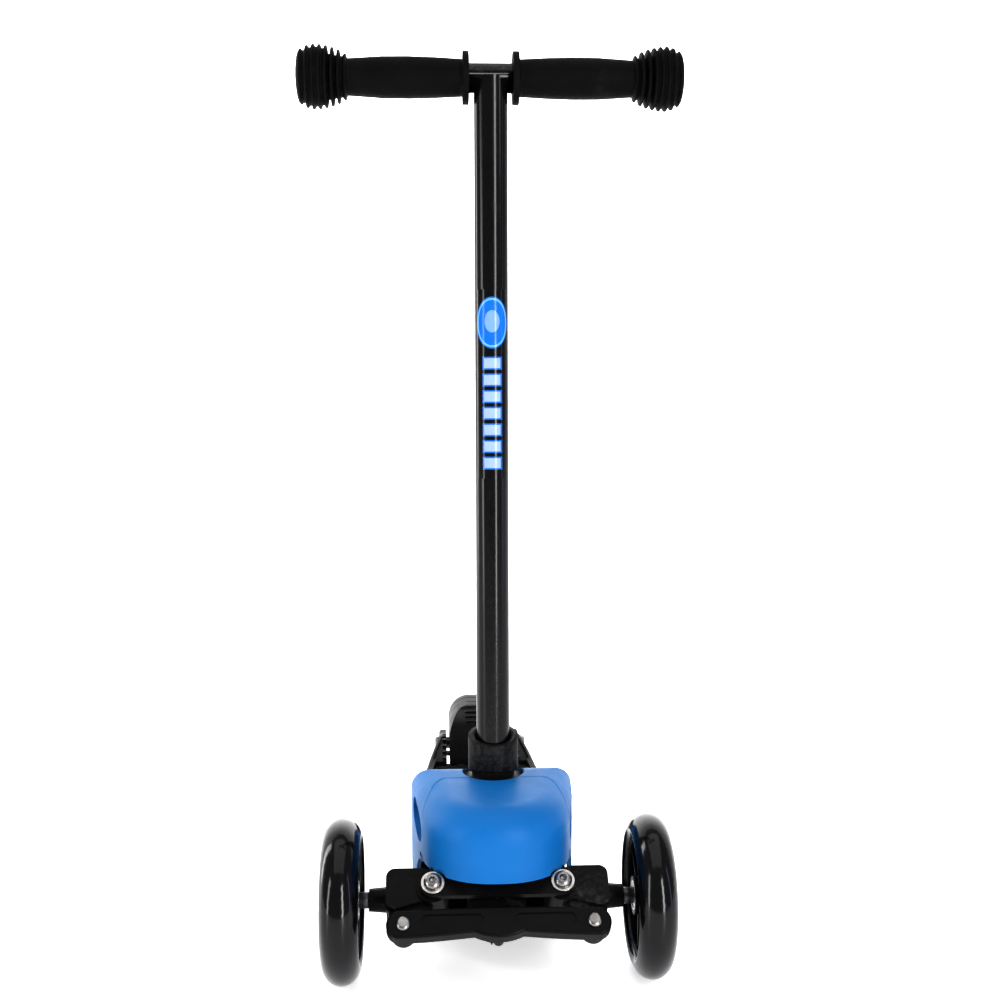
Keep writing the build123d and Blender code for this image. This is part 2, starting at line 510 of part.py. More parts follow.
# ================================================================ deck
def half_outline(off, y0=24.0, y1=449.0):
    return [(46.0 - off, y0 + off), (54.0 - off, 60.0), (60.0 - off, 110.0), (62.5 - off, 170.0), (62.0 - off, 240.0), (58.5 - off, 300.0),
            (54.0 - off, 330.0), (48.2 - off, 361.0), (42.8 - off, 386.0), (41.5 - off, 404.0), (41.5 - off, y1)]


def plan_face(off, y0, y1):
    p = half_outline(off, y0, y1)
    r = Spline(*p, tangents=[(0.3, 1), (0, 1)])
    l = Spline(*[(-x, y) for x, y in reversed(p)], tangents=[(0, -1), (0.3, -1)])
    return make_face([r, Line(p[-1], (-p[-1][0], p[-1][1])), l, Line((-p[0][0], p[0][1]), p[0])])


PLANK_END = 356.0
MAT_IN = 7.0
# plank and the two arms behind it are one moulding: plan outline crossed with side outline
side_top = [(300, 47.7), (318, 48.2), (335, 50.0), (352, 53.6), (370, 58.5), (384, 61.5), (394, 61.8), (404, 59.5), (420, 55.0), (437, 53.5)]
sw = [Line((437, 26.5), (330, DECK_BOT)), Line((330, DECK_BOT), (20, DECK_BOT)), Line((20, DECK_BOT), (20, DECK_TOP)), Line((20, DECK_TOP), (176, DECK_TOP)),
      Line((176, DECK_TOP), (176, 47.7)), Line((176, 47.7), (300, 47.7)), Spline(*side_top, tangents=[(1, 0), (1, -0.02)]),
      ThreePointArc((437, 53.5), (450.5, 40), (437, 26.5))]
deck = one(extrude(Plane(origin=(-90, 0, 0), x_dir=(0, 1, 0), z_dir=(1, 0, 0)) * make_face(sw), 180)
           & extrude(Plane.XY * plan_face(0.0, 24.0, 470.0), 120))
deck = try_fillet(deck, [e for e in deck.edges() if abs(e.center().Z - DECK_BOT) < 0.3 and e.length > 150], (5.0, 4.0, 3.0, 2.0))
# recess for the mat, slot for the rear wheel
recess = one(extrude(Plane.XY.offset(DECK_TOP) * plan_face(MAT_IN, 24.0, 451.0), 60) - box(-90, 90, 0, 170, 0, 200) - box(-90, 90, 346, 600, 0, 200))
deck = sub(deck, recess, box(-34.0, 34.0, PLANK_END, 600, 0, 200), box(-34.0, 34.0, 341.0, 400, DECK_TOP, 200))
# ledge inboard of each smooth horn, a little lower, with short grip ribs
drop = extrude(Plane(origin=(-90, 0, 0), x_dir=(0, 1, 0), z_dir=(1, 0, 0)) * make_face(Polyline((345.9, 49.5), (352, 51.6), (370, 56.5), (384, 59.5), (394, 59.8), (402, 57.6), (402, 90), (345.9, 90), close=True)), 180)
ledge = one(extrude(Plane.XY.offset(30) * plan_face(4.0, 24.0, 470.0), 90) & drop)
deck = sub(deck, ledge)
for i in range(5):
    y = 351 + i * 10.5
    z = 51.3 + (y - 352) * 0.27 if y < 384 else 59.5
    for s in (-1, 1):
        deck = add(deck, box(min(s * 34.3, s * 38.0), max(s * 34.3, s * 38.0), y - 2.0, y + 2.0, z - 3, z + 1.6))
# hollow underside with ribs
pocket = one(extrude(Plane.XY.offset(DECK_BOT - 1) * plan_face(5.0, 40.0, 451.0), DECK_TOP - DECK_BOT - 3.5 + 1) - box(-90, 90, PLANK_END - 5, 600, 0, 200) - box(-90, 90, 0, 62, 0, 200))
for y in (110, 160, 210, 260, 305):
    pocket = one(pocket - box(-90, 90, y - 1.5, y + 1.5, 0, 100))
for x in (-22, 22):
    pocket = one(pocket - box(x - 1.5, x + 1.5, 0, 400, 0, 100))
deck = sub(deck, pocket)
# rear axle hole and pivot hole
deck = sub(deck, cyl((-90, REAR_Y, REAR_Z), (1, 0, 0), AXLE_R, 180))
deck = sub(deck, cyl((-43, 371, 50), (1, 0, 0), 2.5, 86))
# seats for the screws of bracket and socket
scr = []
for sx, sy in SCREWS:
    if sy > 62:
        deck = add(deck, cyl((sx, sy, DECK_BOT + 4), (0, 0, 1), 5.5, 50.0 - DECK_BOT - 4))
    deck = sub(deck, cyl((sx, sy, 0), (0, 0, 1), 2.05, 60), cyl((sx, sy, 0), (0, 0, 1), 4.6, DECK_BOT + 4))
    scr.append(cyl((sx, sy, DECK_BOT + 3.9), (0, 0, 1), 2.0, 32.0) + (cyl((sx, sy, DECK_BOT + 1.4), (0, 0, 1), 4.0, 2.6)
               - box(sx - 2.2, sx + 2.2, sy - 0.5, sy + 0.5, DECK_BOT, DECK_BOT + 2.8) - box(sx - 0.5, sx + 0.5, sy - 2.2, sy + 2.2, DECK_BOT, DECK_BOT + 2.8)))
out["deck_screws"] = Compound(children=scr)
deck = sub(deck, arch)
out["deck_frame"] = deck

# ribbed foot mat
mat = extrude(Plane.XY.offset(DECK_TOP) * plan_face(MAT_IN + 0.2, 24.0, 451.0), 1.6) - box(-90, 90, 0, 196.5, 0, 200) - box(-90, 90, 345.0, 600, 0, 200)
for i in range(23):
    y = 201 + i * 6.2
    if y < 340:
        rb = box(-70, 70, y - 1.4, y + 1.4, DECK_TOP + 1.5, DECK_TOP + 2.7) & (extrude(Plane.XY.offset(DECK_TOP) * plan_face(MAT_IN + 3.0, 24.0, 451.0), 10))
        mat = mat + rb
mat = sub(mat, box(-90, 90, PLANK_END - 0.2, 600, 0, 200))
out["foot_mat"] = mat

# ================================================================ rear wheel
tyre_r = tyre_solid(REAR_R, REAR_W, 27.0, 29.0)
hub_r = hub_solid(27.0, REAR_W, 5)
atr = Pos(0, REAR_Y, REAR_Z)
out["rear_tyre"] = atr * tyre_r
out["rear_hub"] = atr * hub_r
out["rear_bearings"] = Compound(children=[atr * bearing(-HALF_B + BEAR_W / 2), atr * bearing(HALF_B - BEAR_W / 2)])
out["rear_spacer"] = atr * rev_x([(-HALF_B + BEAR_W, 5.8), (HALF_B - BEAR_W, 5.8), (HALF_B - BEAR_W, AXLE_R + 0.05), (-HALF_B + BEAR_W, AXLE_R + 0.05)])
out["rear_side_spacers"] = Compound(children=[cyl((s * (HALF_B + 0.2), REAR_Y, REAR_Z), (s, 0, 0), 6.0, 33.9 - HALF_B - 0.2) - cyl((s * 10, REAR_Y, REAR_Z), (s, 0, 0), AXLE_R + 0.05, 40) for s in (-1, 1)])
rb_ = cyl((-41.6, REAR_Y, REAR_Z), (1, 0, 0), AXLE_R, 90.0)
rh = cyl((-41.5, REAR_Y, REAR_Z), (-1, 0, 0), 6.5, 4.2)
rh = try_fillet(rh, [rh.edges().sort_by(Axis.X)[0]], (2.0, 1.5))
rh = rh - extrude(Plane(origin=(-43.5, REAR_Y, REAR_Z), x_dir=(0, 1, 0), z_dir=(-1, 0, 0)) * RegularPolygon(2.5, 6), 5)
out["rear_axle"] = rb_ + rh
out["rear_axle_nut"] = extrude(Plane(origin=(41.5, REAR_Y, REAR_Z), x_dir=(0, 1, 0), z_dir=(1, 0, 0)) * (RegularPolygon(7.4, 6) - Circle(AXLE_R)), 6.5)

# ================================================================ rear brake
PIV = (371.0, 50.0)
FO, FI = 50.0, 46.2      # fender, outer and inner radius about the axle


def fender_solid(r, hw, ac):
    """Channel about the rear axle: revolved round-shouldered section."""
    p = [Line((-hw, 0), (-hw, r - ac)), ThreePointArc((-hw, r - ac), (-hw + ac * 0.2929, r - ac * 0.2929), (-hw + ac, r)), Line((-hw + ac, r), (hw - ac, r)),
         ThreePointArc((hw - ac, r), (hw - ac * 0.2929, r - ac * 0.2929), (hw, r - ac)), Line((hw, r - ac), (hw, 0)), Line((hw, 0), (-hw, 0))]
    return revolve(make_face(p), Axis.X, 360)


fo = fender_solid(FO, 31.0, 21.0)
fi = fender_solid(FI, 27.6, 17.6)
fen = fo - fi
# keep the arc over the wheel; the apron in front drops to the deck
wedge = make_face(Polyline((-140, 15), (0, 15), (130, 24), (130, 140), (-140, 140), close=True))
keep = extrude(Plane(origin=(-60, 0, 0), x_dir=(0, 1, 0), z_dir=(1, 0, 0)) * wedge, 120)
fen = (fen & keep)
fen = Pos(0, REAR_Y, REAR_Z) * fen
# front apron, from the wheel arch forward down to the plank
CR = 21.0
front_view = make_face([Line((-31, 30), (-31, 90 - CR)), ThreePointArc((-31, 90 - CR), (-31 + CR * 0.29289, 90 - CR * 0.29289), (-31 + CR, 90)), Line((-31 + CR, 90), (31 - CR, 90)),
                        ThreePointArc((31 - CR, 90), (31 - CR * 0.29289, 90 - CR * 0.29289), (31, 90 - CR)), Line((31, 90 - CR), (31, 30)), Line((31, 30), (-31, 30))])
ap_out = [Spline((346.5, 46.5), (349.0, 57.0), (358.0, 69.5), (376.0, 80.5), (400.0, 87.0), (437.0, 90.0), tangents=[(0.05, 1), (1, 0)]),
          Line((437, 90), (437, 55)), Line((437, 55), (398, 53)), Line((398, 53), (386, 46.5)), Line((386, 46.5), (346.5, 46.5))]
yz = Plane(origin=(-31, 0, 0), x_dir=(0, 1, 0), z_dir=(1, 0, 0))
xz = Plane(origin=(0, 500, 0), x_dir=(1, 0, 0), z_dir=(0, -1, 0))
apron = one(extrude(yz * make_face(ap_out), 62) & extrude(xz * front_view, 200))
ap_in = [Spline((350.0, 40.0), (352.6, 56.0), (361.0, 67.0), (378.0, 77.4), (401.0, 83.4), (437.0, 86.2), tangents=[(0.05, 1), (1, 0)]),
         Line((437, 86.2), (437, 30)), Line((437, 30), (350, 30)), Line((350, 30), (350, 40))]
front_in = make_face([Line((-27.6, 20), (-27.6, 86.2 - 17.6)), ThreePointArc((-27.6, 86.2 - 17.6), (-27.6 + 17.6 * 0.29289, 86.2 - 17.6 * 0.29289), (-10, 86.2)), Line((-10, 86.2), (10, 86.2)),
                      ThreePointArc((10, 86.2), (27.6 - 17.6 * 0.29289, 86.2 - 17.6 * 0.29289), (27.6, 86.2 - 17.6)), Line((27.6, 86.2 - 17.6), (27.6, 20)), Line((27.6, 20), (-27.6, 20))])
hollow = one(extrude(yz * make_face(ap_in), 62) & extrude(xz * front_in, 200))
apron = sub(apron, hollow, box(-60, 60, 430, 600, 0, 200))
rear_half = one(fen & box(-60, 60, 429.5, 600, 0, 200))
fender = add(apron, rear_half)
for s in (-1, 1):
    l_ = extrude(Plane(origin=(26.5 if s > 0 else -30.9, 0, 0), x_dir=(0, 1, 0), z_dir=(1, 0, 0)) *
                 make_hull((Sketch() + [Pos(*PIV) * Circle(6.0), Pos(386, 60) * Circle(7.0), Pos(376, 64) * Circle(7.0)]).edges()), 4.4)
    fender = add(fender, l_)
fender = sub(fender, cyl((-60, PIV[0], PIV[1]), (1, 0, 0), 2.54, 120))
out["rear_fender"] = fender
# friction plate under the crown
pad_ = one(rev_x([(-9, FI - 0.02), (9, FI - 0.02), (9, FI - 1.6), (-9, FI - 1.6)]) & extrude(Plane(origin=(-20, 0, 0), x_dir=(0, 1, 0), z_dir=(1, 0, 0)) * make_face(Polyline((0, 0), (-10, 80), (34, 80), close=True)), 40))
out["brake_pad"] = Pos(0, REAR_Y, REAR_Z) * pad_
# torsion spring on the pivot pin
bs = Pos(0, *PIV) * rev_x([(-7, 4.3), (7, 4.3), (7, 2.9), (-7, 2.9)])
bs = add(bs, cyl((6.2, PIV[0] - 3.5, PIV[1]), (0, 0.26, 1), 0.7, 17.0), cyl((-6.2, PIV[0], PIV[1] - 3.5), (0, -1, -0.03), 0.7, 18.0))
out["brake_spring"] = bs
out["brake_pin"] = cyl((-41.5, PIV[0], PIV[1]), (1, 0, 0), 2.5, 83.0)

for k, v in out.items():
    if v is not None:
        v = out[k] = one(v)
        print(k, "solids", len(v.solids()), "vol", round(v.volume, 1), v.is_valid)
os.makedirs("parts", exist_ok=True)
for k, v in out.items():
    if v is not None:
        export_step(Pos(0, -YC, 0) * v, f"parts/{k}.step")
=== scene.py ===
import bpy, bmesh, math
from mathutils import Vector, Matrix


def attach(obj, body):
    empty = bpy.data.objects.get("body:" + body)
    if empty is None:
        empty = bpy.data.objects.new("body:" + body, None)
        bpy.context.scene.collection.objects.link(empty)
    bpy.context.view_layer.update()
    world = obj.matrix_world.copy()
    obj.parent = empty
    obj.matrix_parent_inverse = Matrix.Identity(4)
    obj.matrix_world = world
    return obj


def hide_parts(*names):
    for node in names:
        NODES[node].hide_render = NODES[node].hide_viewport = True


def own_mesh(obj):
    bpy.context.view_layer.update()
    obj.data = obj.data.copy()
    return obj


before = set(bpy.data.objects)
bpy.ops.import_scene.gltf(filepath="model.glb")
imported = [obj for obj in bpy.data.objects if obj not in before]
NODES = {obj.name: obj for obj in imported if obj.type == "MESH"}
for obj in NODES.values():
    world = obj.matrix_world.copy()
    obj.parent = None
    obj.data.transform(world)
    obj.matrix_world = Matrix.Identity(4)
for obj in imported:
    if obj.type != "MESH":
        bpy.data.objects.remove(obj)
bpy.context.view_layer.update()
YC = 0.2135                      # front axle to the origin


def P(x, y, z):
    """millimetres, front axle at y = 0 -> metres in the row's frame"""
    return Vector((x / 1000.0, (y / 1000.0) - YC, z / 1000.0))


RAKE = math.radians(4.3)
D = Vector((0, math.sin(RAKE), math.cos(RAKE)))
V = Vector((0, math.cos(RAKE), -math.sin(RAKE)))


def on_stem(z):
    return P(0, 58.5, 135) + D * ((z - 135.0) / 1000.0 / D.z)


# ------------------------------------------------------------------ camera
CAM = dict(x=-42.7, d=978.5, z=491.5, pitch=7.8, yaw=2.65)
cam_d = bpy.data.cameras.new("cam")
cam_d.lens = 50.0
cam_d.sensor_width = 36.0
cam_d.clip_start = 0.01
cam_d.clip_end = 60
cam = bpy.data.objects.new("cam", cam_d)
bpy.context.scene.collection.objects.link(cam)
th, yw = math.radians(CAM["pitch"]), math.radians(CAM["yaw"])
fwd = Vector((math.sin(yw) * math.cos(th), math.cos(yw) * math.cos(th), -math.sin(th)))
right = Vector((math.cos(yw), -math.sin(yw), 0))
up = right.cross(fwd)
m = Matrix((right, up, -fwd)).transposed().to_4x4()
m.translation = P(CAM["x"], -CAM["d"], CAM["z"])
cam.matrix_world = m
bpy.context.scene.camera = cam


# ------------------------------------------------------------------ node helpers
def new_mat(name):
    mt = bpy.data.materials.new(name)
    mt.use_nodes = True
    nt = mt.node_tree
    nt.nodes.clear()
    out = nt.nodes.new("ShaderNodeOutputMaterial")
    b = nt.nodes.new("ShaderNodeBsdfPrincipled")
    nt.links.new(b.outputs[0], out.inputs[0])
    return mt, nt, b


def node(nt, kind, **kw):
    n = nt.nodes.new(kind)
    for k, v in kw.items():
        if hasattr(n, k) and not k.startswith("in_"):
            setattr(n, k, v)
    return n


def obj_coord(nt, scale=(1, 1, 1), rot=(0, 0, 0), loc=(0, 0, 0)):
    tc = nt.nodes.new("ShaderNodeTexCoord")
    mp = nt.nodes.new("ShaderNodeMapping")
    mp.inputs["Scale"].default_value = scale
    mp.inputs["Rotation"].default_value = rot
    mp.inputs["Location"].default_value = loc
    nt.links.new(tc.outputs["Object"], mp.inputs["Vector"])
    return mp.outputs["Vector"]


def noise(nt, vec, scale, detail=4.0, rough=0.5, dist=0.0):
    n = nt.nodes.new("ShaderNodeTexNoise")
    n.inputs["Scale"].default_value = scale
    n.inputs["Detail"].default_value = detail
    n.inputs["Roughness"].default_value = rough
    n.inputs["Distortion"].default_value = dist
    nt.links.new(vec, n.inputs["Vector"])
    return n.outputs["Fac"]


def ramp(nt, fac, stops):
    r = nt.nodes.new("ShaderNodeValToRGB")
    e = r.color_ramp.elements
    while len(e) > 1:
        e.remove(e[-1])
    e[0].position, e[0].color = stops[0][0], stops[0][1]
    for p, c in stops[1:]:
        x = e.new(p)
        x.color = c
    nt.links.new(fac, r.inputs["Fac"])
    return r.outputs["Color"]


def math_n(nt, op, a, b=None, c=None):
    n = nt.nodes.new("ShaderNodeMath")
    n.operation = op
    for i, v in enumerate((a, b, c)):
        if v is None:
            continue
        if isinstance(v, (int, float)):
            n.inputs[i].default_value = v
        else:
            nt.links.new(v, n.inputs[i])
    return n.outputs[0]


def maprange(nt, v, a, b, c, d):
    n = nt.nodes.new("ShaderNodeMapRange")
    n.inputs["From Min"].default_value = a
    n.inputs["From Max"].default_value = b
    n.inputs["To Min"].default_value = c
    n.inputs["To Max"].default_value = d
    nt.links.new(v, n.inputs["Value"])
    return n.outputs["Result"]


def mixc(nt, fac, a, b):
    n = nt.nodes.new("ShaderNodeMix")
    n.data_type = "RGBA"
    if isinstance(fac, (int, float)):
        n.inputs["Factor"].default_value = fac
    else:
        nt.links.new(fac, n.inputs["Factor"])
    for key, v in (("A", a), ("B", b)):
        s = [x for x in n.inputs if x.name == key and x.type == "RGBA"][0]
        if isinstance(v, tuple):
            s.default_value = v
        else:
            nt.links.new(v, s)
    return [x for x in n.outputs if x.type == "RGBA"][0]


def bump(nt, h, strength, dist, prev=None):
    b = nt.nodes.new("ShaderNodeBump")
    b.inputs["Strength"].default_value = strength
    b.inputs["Distance"].default_value = dist
    nt.links.new(h, b.inputs["Height"])
    if prev is not None:
        nt.links.new(prev, b.inputs["Normal"])
    return b.outputs["Normal"]


def edge_wear(nt, lo=0.53, hi=0.60):
    g = nt.nodes.new("ShaderNodeNewGeometry")
    return maprange(nt, g.outputs["Pointiness"], lo, hi, 0.0, 1.0)


def rgb(r, g, b):
    return (r, g, b, 1.0)


def plastic(name, base, dark, light, rough=(0.30, 0.44), grain=900.0, grain_b=0.12, spec=0.11, coat=0.0, coat_r=0.1, wear=None, scratch=0.0, dust=0.0):
    """Moulded plastic or rubber: mottled colour, uneven gloss, fine grain, pale worn edges, hairline scratches."""
    mt, nt, b = new_mat(name)
    v = obj_coord(nt)
    big = noise(nt, v, 14.0, 5.0, 0.6)
    col = ramp(nt, big, [(0.25, dark), (0.5, base), (0.78, light)])
    rr = maprange(nt, noise(nt, v, 60.0, 6.0, 0.65), 0.3, 0.72, rough[0], rough[1])
    fine = noise(nt, v, grain, 3.0, 0.6)
    if wear is not None:
        e = edge_wear(nt, *wear[1])
        brk = maprange(nt, noise(nt, v, 240.0, 5.0, 0.7), 0.42, 0.62, 0.0, 1.0)
        f = math_n(nt, "MULTIPLY", e, brk)
        f = math_n(nt, "MULTIPLY", f, wear[2])
        col = mixc(nt, f, col, wear[0])
        rr = math_n(nt, "ADD", rr, math_n(nt, "MULTIPLY", f, 0.15))
    if dust > 0:
        dn = maprange(nt, noise(nt, v, 35.0, 8.0, 0.75), 0.55, 0.8, 0.0, dust)
        col = mixc(nt, dn, col, rgb(0.32, 0.31, 0.30))
    nt.links.new(col, b.inputs["Base Color"])
    nt.links.new(rr, b.inputs["Roughness"])
    nrm = bump(nt, fine, grain_b, 0.0002)
    if scratch > 0:
        vs = obj_coord(nt, scale=(1, 22, 1), rot=(0.3, 0.5, 0.9))
        sc = maprange(nt, noise(nt, vs, 90.0, 3.0, 0.5, 0.4), 0.66, 0.70, 0.0, 1.0)
        nrm = bump(nt, sc, scratch, 0.0001, nrm)
    nt.links.new(nrm, b.inputs["Normal"])
    b.inputs["Specular IOR Level"].default_value = spec
    b.inputs["Coat Weight"].default_value = coat
    b.inputs["Coat Roughness"].default_value = coat_r
    return mt


M = {}
M["nylon"] = plastic("nylon", rgb(0.0042, 0.0042, 0.0046), rgb(0.0030, 0.0030, 0.0033), rgb(0.0065, 0.0065, 0.0070), rough=(0.34, 0.50), grain=1400, grain_b=0.22,
                     wear=(rgb(0.06, 0.06, 0.062), (0.53, 0.62), 0.5), scratch=0.08, dust=0.02)
M["knuckle"] = plastic("knuckle", rgb(0.0048, 0.0048, 0.0052), rgb(0.0034, 0.0034, 0.0037), rgb(0.0075, 0.0075, 0.0080), rough=(0.30, 0.45), grain=1100, grain_b=0.28,
                       wear=(rgb(0.07, 0.07, 0.072), (0.53, 0.62), 0.5), dust=0.02)
M["tiebar"] = plastic("tiebar", rgb(0.0040, 0.0040, 0.0044), rgb(0.0030, 0.0030, 0.0033), rgb(0.0060, 0.0060, 0.0065), rough=(0.28, 0.42), grain=1200, grain_b=0.2,
                      wear=(rgb(0.06, 0.06, 0.062), (0.53, 0.62), 0.5), scratch=0.08)
M["collar"] = plastic("collar", rgb(0.0050, 0.0050, 0.0054), rgb(0.0038, 0.0038, 0.0041), rgb(0.0072, 0.0072, 0.0077), rough=(0.42, 0.56), grain=1600, grain_b=0.25,
                      wear=(rgb(0.05, 0.05, 0.052), (0.53, 0.62), 0.4))
M["grip"] = plastic("grip", rgb(0.0034, 0.0034, 0.0036), rgb(0.0024, 0.0024, 0.0026), rgb(0.0055, 0.0055, 0.0057), rough=(0.52, 0.70), grain=1900, grain_b=0.45, spec=0.07,
                    wear=(rgb(0.035, 0.034, 0.034), (0.54, 0.66), 0.5), dust=0.03)
M["mat"] = plastic("mat", rgb(0.009, 0.009, 0.0095), rgb(0.006, 0.006, 0.0065), rgb(0.013, 0.013, 0.0135), rough=(0.60, 0.80), grain=1500, grain_b=0.5, spec=0.12,
                   wear=(rgb(0.06, 0.058, 0.056), (0.53, 0.64), 0.6), dust=0.10)
M["gloss"] = plastic("gloss", rgb(0.0040, 0.0036, 0.0035), rgb(0.0030, 0.0028, 0.0027), rgb(0.0062, 0.0054, 0.0052), rough=(0.30, 0.42), grain=500, grain_b=0.05, spec=0.06, coat=0.03, coat_r=0.15,
                     wear=(rgb(0.05, 0.048, 0.047), (0.53, 0.64), 0.3), scratch=0.12, dust=0.02)
M["hub"] = plastic("hub", rgb(0.0038, 0.0038, 0.0042), rgb(0.0028, 0.0028, 0.0031), rgb(0.0056, 0.0056, 0.0060), rough=(0.26, 0.38), grain=800, grain_b=0.1, spec=0.12,
                   wear=(rgb(0.05, 0.05, 0.052), (0.53, 0.62), 0.4))


def blue():
    mt, nt, b = new_mat("blue_satin")
    v = obj_coord(nt)
    big = noise(nt, v, 9.0, 4.0, 0.55)
    col = ramp(nt, big, [(0.25, rgb(0.005, 0.136, 0.375)), (0.5, rgb(0.006, 0.146, 0.40)), (0.78, rgb(0.008, 0.158, 0.425))])
    # painted highlight: lighter stretched streaks mixed into the blue stand in for highlights
    highlight_streaks = noise(nt, obj_coord(nt, scale=(1, 1, 6)), 18.0, 3.0, 0.5, 0.6)
    col = mixc(nt, maprange(nt, highlight_streaks, 0.45, 0.75, 0.0, 0.12), col, rgb(0.012, 0.185, 0.47))
    e = edge_wear(nt, 0.54, 0.64)
    brk = maprange(nt, noise(nt, v, 260.0, 5.0, 0.7), 0.45, 0.6, 0.0, 0.5)
    col = mixc(nt, math_n(nt, "MULTIPLY", e, brk), col, rgb(0.08, 0.32, 0.66))
    nt.links.new(col, b.inputs["Base Color"])
    rr = maprange(nt, noise(nt, v, 45.0, 6.0, 0.65), 0.3, 0.72, 0.40, 0.52)
    nt.links.new(rr, b.inputs["Roughness"])
    n1 = bump(nt, noise(nt, v, 1500.0, 3.0, 0.6), 0.14, 0.0002)
    n2 = bump(nt, noise(nt, v, 220.0, 2.0, 0.5), 0.03, 0.0006, n1)
    nt.links.new(n2, b.inputs["Normal"])
    b.inputs["Specular IOR Level"].default_value = 0.18
    return mt


M["blue"] = blue()


def paint():
    """Gloss black powder coat with faint orange peel."""
    mt, nt, b = new_mat("black_coat")
    v = obj_coord(nt)
    col = ramp(nt, noise(nt, v, 12.0, 4.0, 0.5), [(0.3, rgb(0.0022, 0.0022, 0.0025)), (0.6, rgb(0.0030, 0.0030, 0.0034)), (0.8, rgb(0.0044, 0.0044, 0.0048))])
    e = edge_wear(nt, 0.55, 0.68)
    col = mixc(nt, math_n(nt, "MULTIPLY", e, maprange(nt, noise(nt, v, 300.0, 4.0, 0.7), 0.5, 0.6, 0.0, 0.5)), col, rgb(0.12, 0.12, 0.125))
    nt.links.new(col, b.inputs["Base Color"])
    nt.links.new(maprange(nt, noise(nt, v, 80.0, 6.0, 0.6), 0.3, 0.75, 0.13, 0.22), b.inputs["Roughness"])
    n1 = bump(nt, noise(nt, v, 420.0, 2.0, 0.5), 0.05, 0.0003)
    vs = obj_coord(nt, scale=(14, 14, 1))
    n2 = bump(nt, maprange(nt, noise(nt, vs, 60.0, 3.0, 0.5, 0.3), 0.68, 0.72, 0.0, 1.0), 0.06, 0.0001, n1)
    nt.links.new(n2, b.inputs["Normal"])
    b.inputs["Specular IOR Level"].default_value = 0.22
    b.inputs["Coat Weight"].default_value = 0.12
    b.inputs["Coat Roughness"].default_value = 0.06
    return mt


M["paint"] = paint()


def pu():
    """Cast polyurethane: deep gloss, faint rolling marks round the tread."""
    mt, nt, b = new_mat("wheel_pu")
    v = obj_coord(nt)
    col = ramp(nt, noise(nt, v, 20.0, 5.0, 0.6), [(0.3, rgb(0.0022, 0.0022, 0.0028)), (0.6, rgb(0.0032, 0.0032, 0.0040)), (0.85, rgb(0.0052, 0.0052, 0.0062))])
    col = mixc(nt, maprange(nt, noise(nt, v, 150.0, 7.0, 0.75), 0.62, 0.82, 0.0, 0.05), col, rgb(0.25, 0.24, 0.23))
    nt.links.new(col, b.inputs["Base Color"])
    nt.links.new(maprange(nt, noise(nt, v, 55.0, 7.0, 0.7), 0.3, 0.75, 0.09, 0.20), b.inputs["Roughness"])
    vs = obj_coord(nt, scale=(30, 1, 1))
    n1 = bump(nt, noise(nt, vs, 40.0, 3.0, 0.5), 0.03, 0.0002)
    n2 = bump(nt, noise(nt, v, 700.0, 2.0, 0.5), 0.03, 0.0001, n1)
    nt.links.new(n2, b.inputs["Normal"])
    b.inputs["Specular IOR Level"].default_value = 0.25
    b.inputs["Coat Weight"].default_value = 0.15
    b.inputs["Coat Roughness"].default_value = 0.05
    return mt


M["pu"] = pu()


def metal(name, c0, c1, rough=(0.22, 0.38), stretch=(1, 1, 1), tint=None):
    mt, nt, b = new_mat(name)
    v = obj_coord(nt, scale=stretch)
    col = ramp(nt, noise(nt, v, 160.0, 5.0, 0.6), [(0.3, c0), (0.7, c1)])
    if tint is not None:
        col = mixc(nt, maprange(nt, noise(nt, v, 55.0, 5.0, 0.7), 0.5, 0.8, 0.0, 0.35), col, tint)
    nt.links.new(col, b.inputs["Base Color"])
    nt.links.new(maprange(nt, noise(nt, v, 300.0, 6.0, 0.7), 0.3, 0.75, rough[0], rough[1]), b.inputs["Roughness"])
    nt.links.new(bump(nt, noise(nt, v, 600.0, 3.0, 0.6), 0.1, 0.0001), b.inputs["Normal"])
    b.inputs["Metallic"].default_value = 1.0
    return mt


M["zinc"] = metal("zinc_plate", rgb(0.40, 0.385, 0.37), rgb(0.58, 0.56, 0.54), (0.20, 0.36), tint=rgb(0.34, 0.28, 0.24))
M["pin"] = metal("dull_zinc", rgb(0.22, 0.212, 0.205), rgb(0.36, 0.35, 0.34), (0.24, 0.40), tint=rgb(0.22, 0.18, 0.15))
M["washer"] = metal("dark_zinc", rgb(0.05, 0.05, 0.052), rgb(0.10, 0.098, 0.096), (0.25, 0.42))
M["spring"] = metal("spring_steel", rgb(0.16, 0.16, 0.17), rgb(0.34, 0.34, 0.35), (0.30, 0.48))
M["bearing"] = metal("bearing_steel", rgb(0.52, 0.52, 0.54), rgb(0.68, 0.68, 0.70), (0.12, 0.24))
M["brass"] = metal("sintered_bush", rgb(0.42, 0.30, 0.12), rgb(0.62, 0.46, 0.20), (0.35, 0.55))

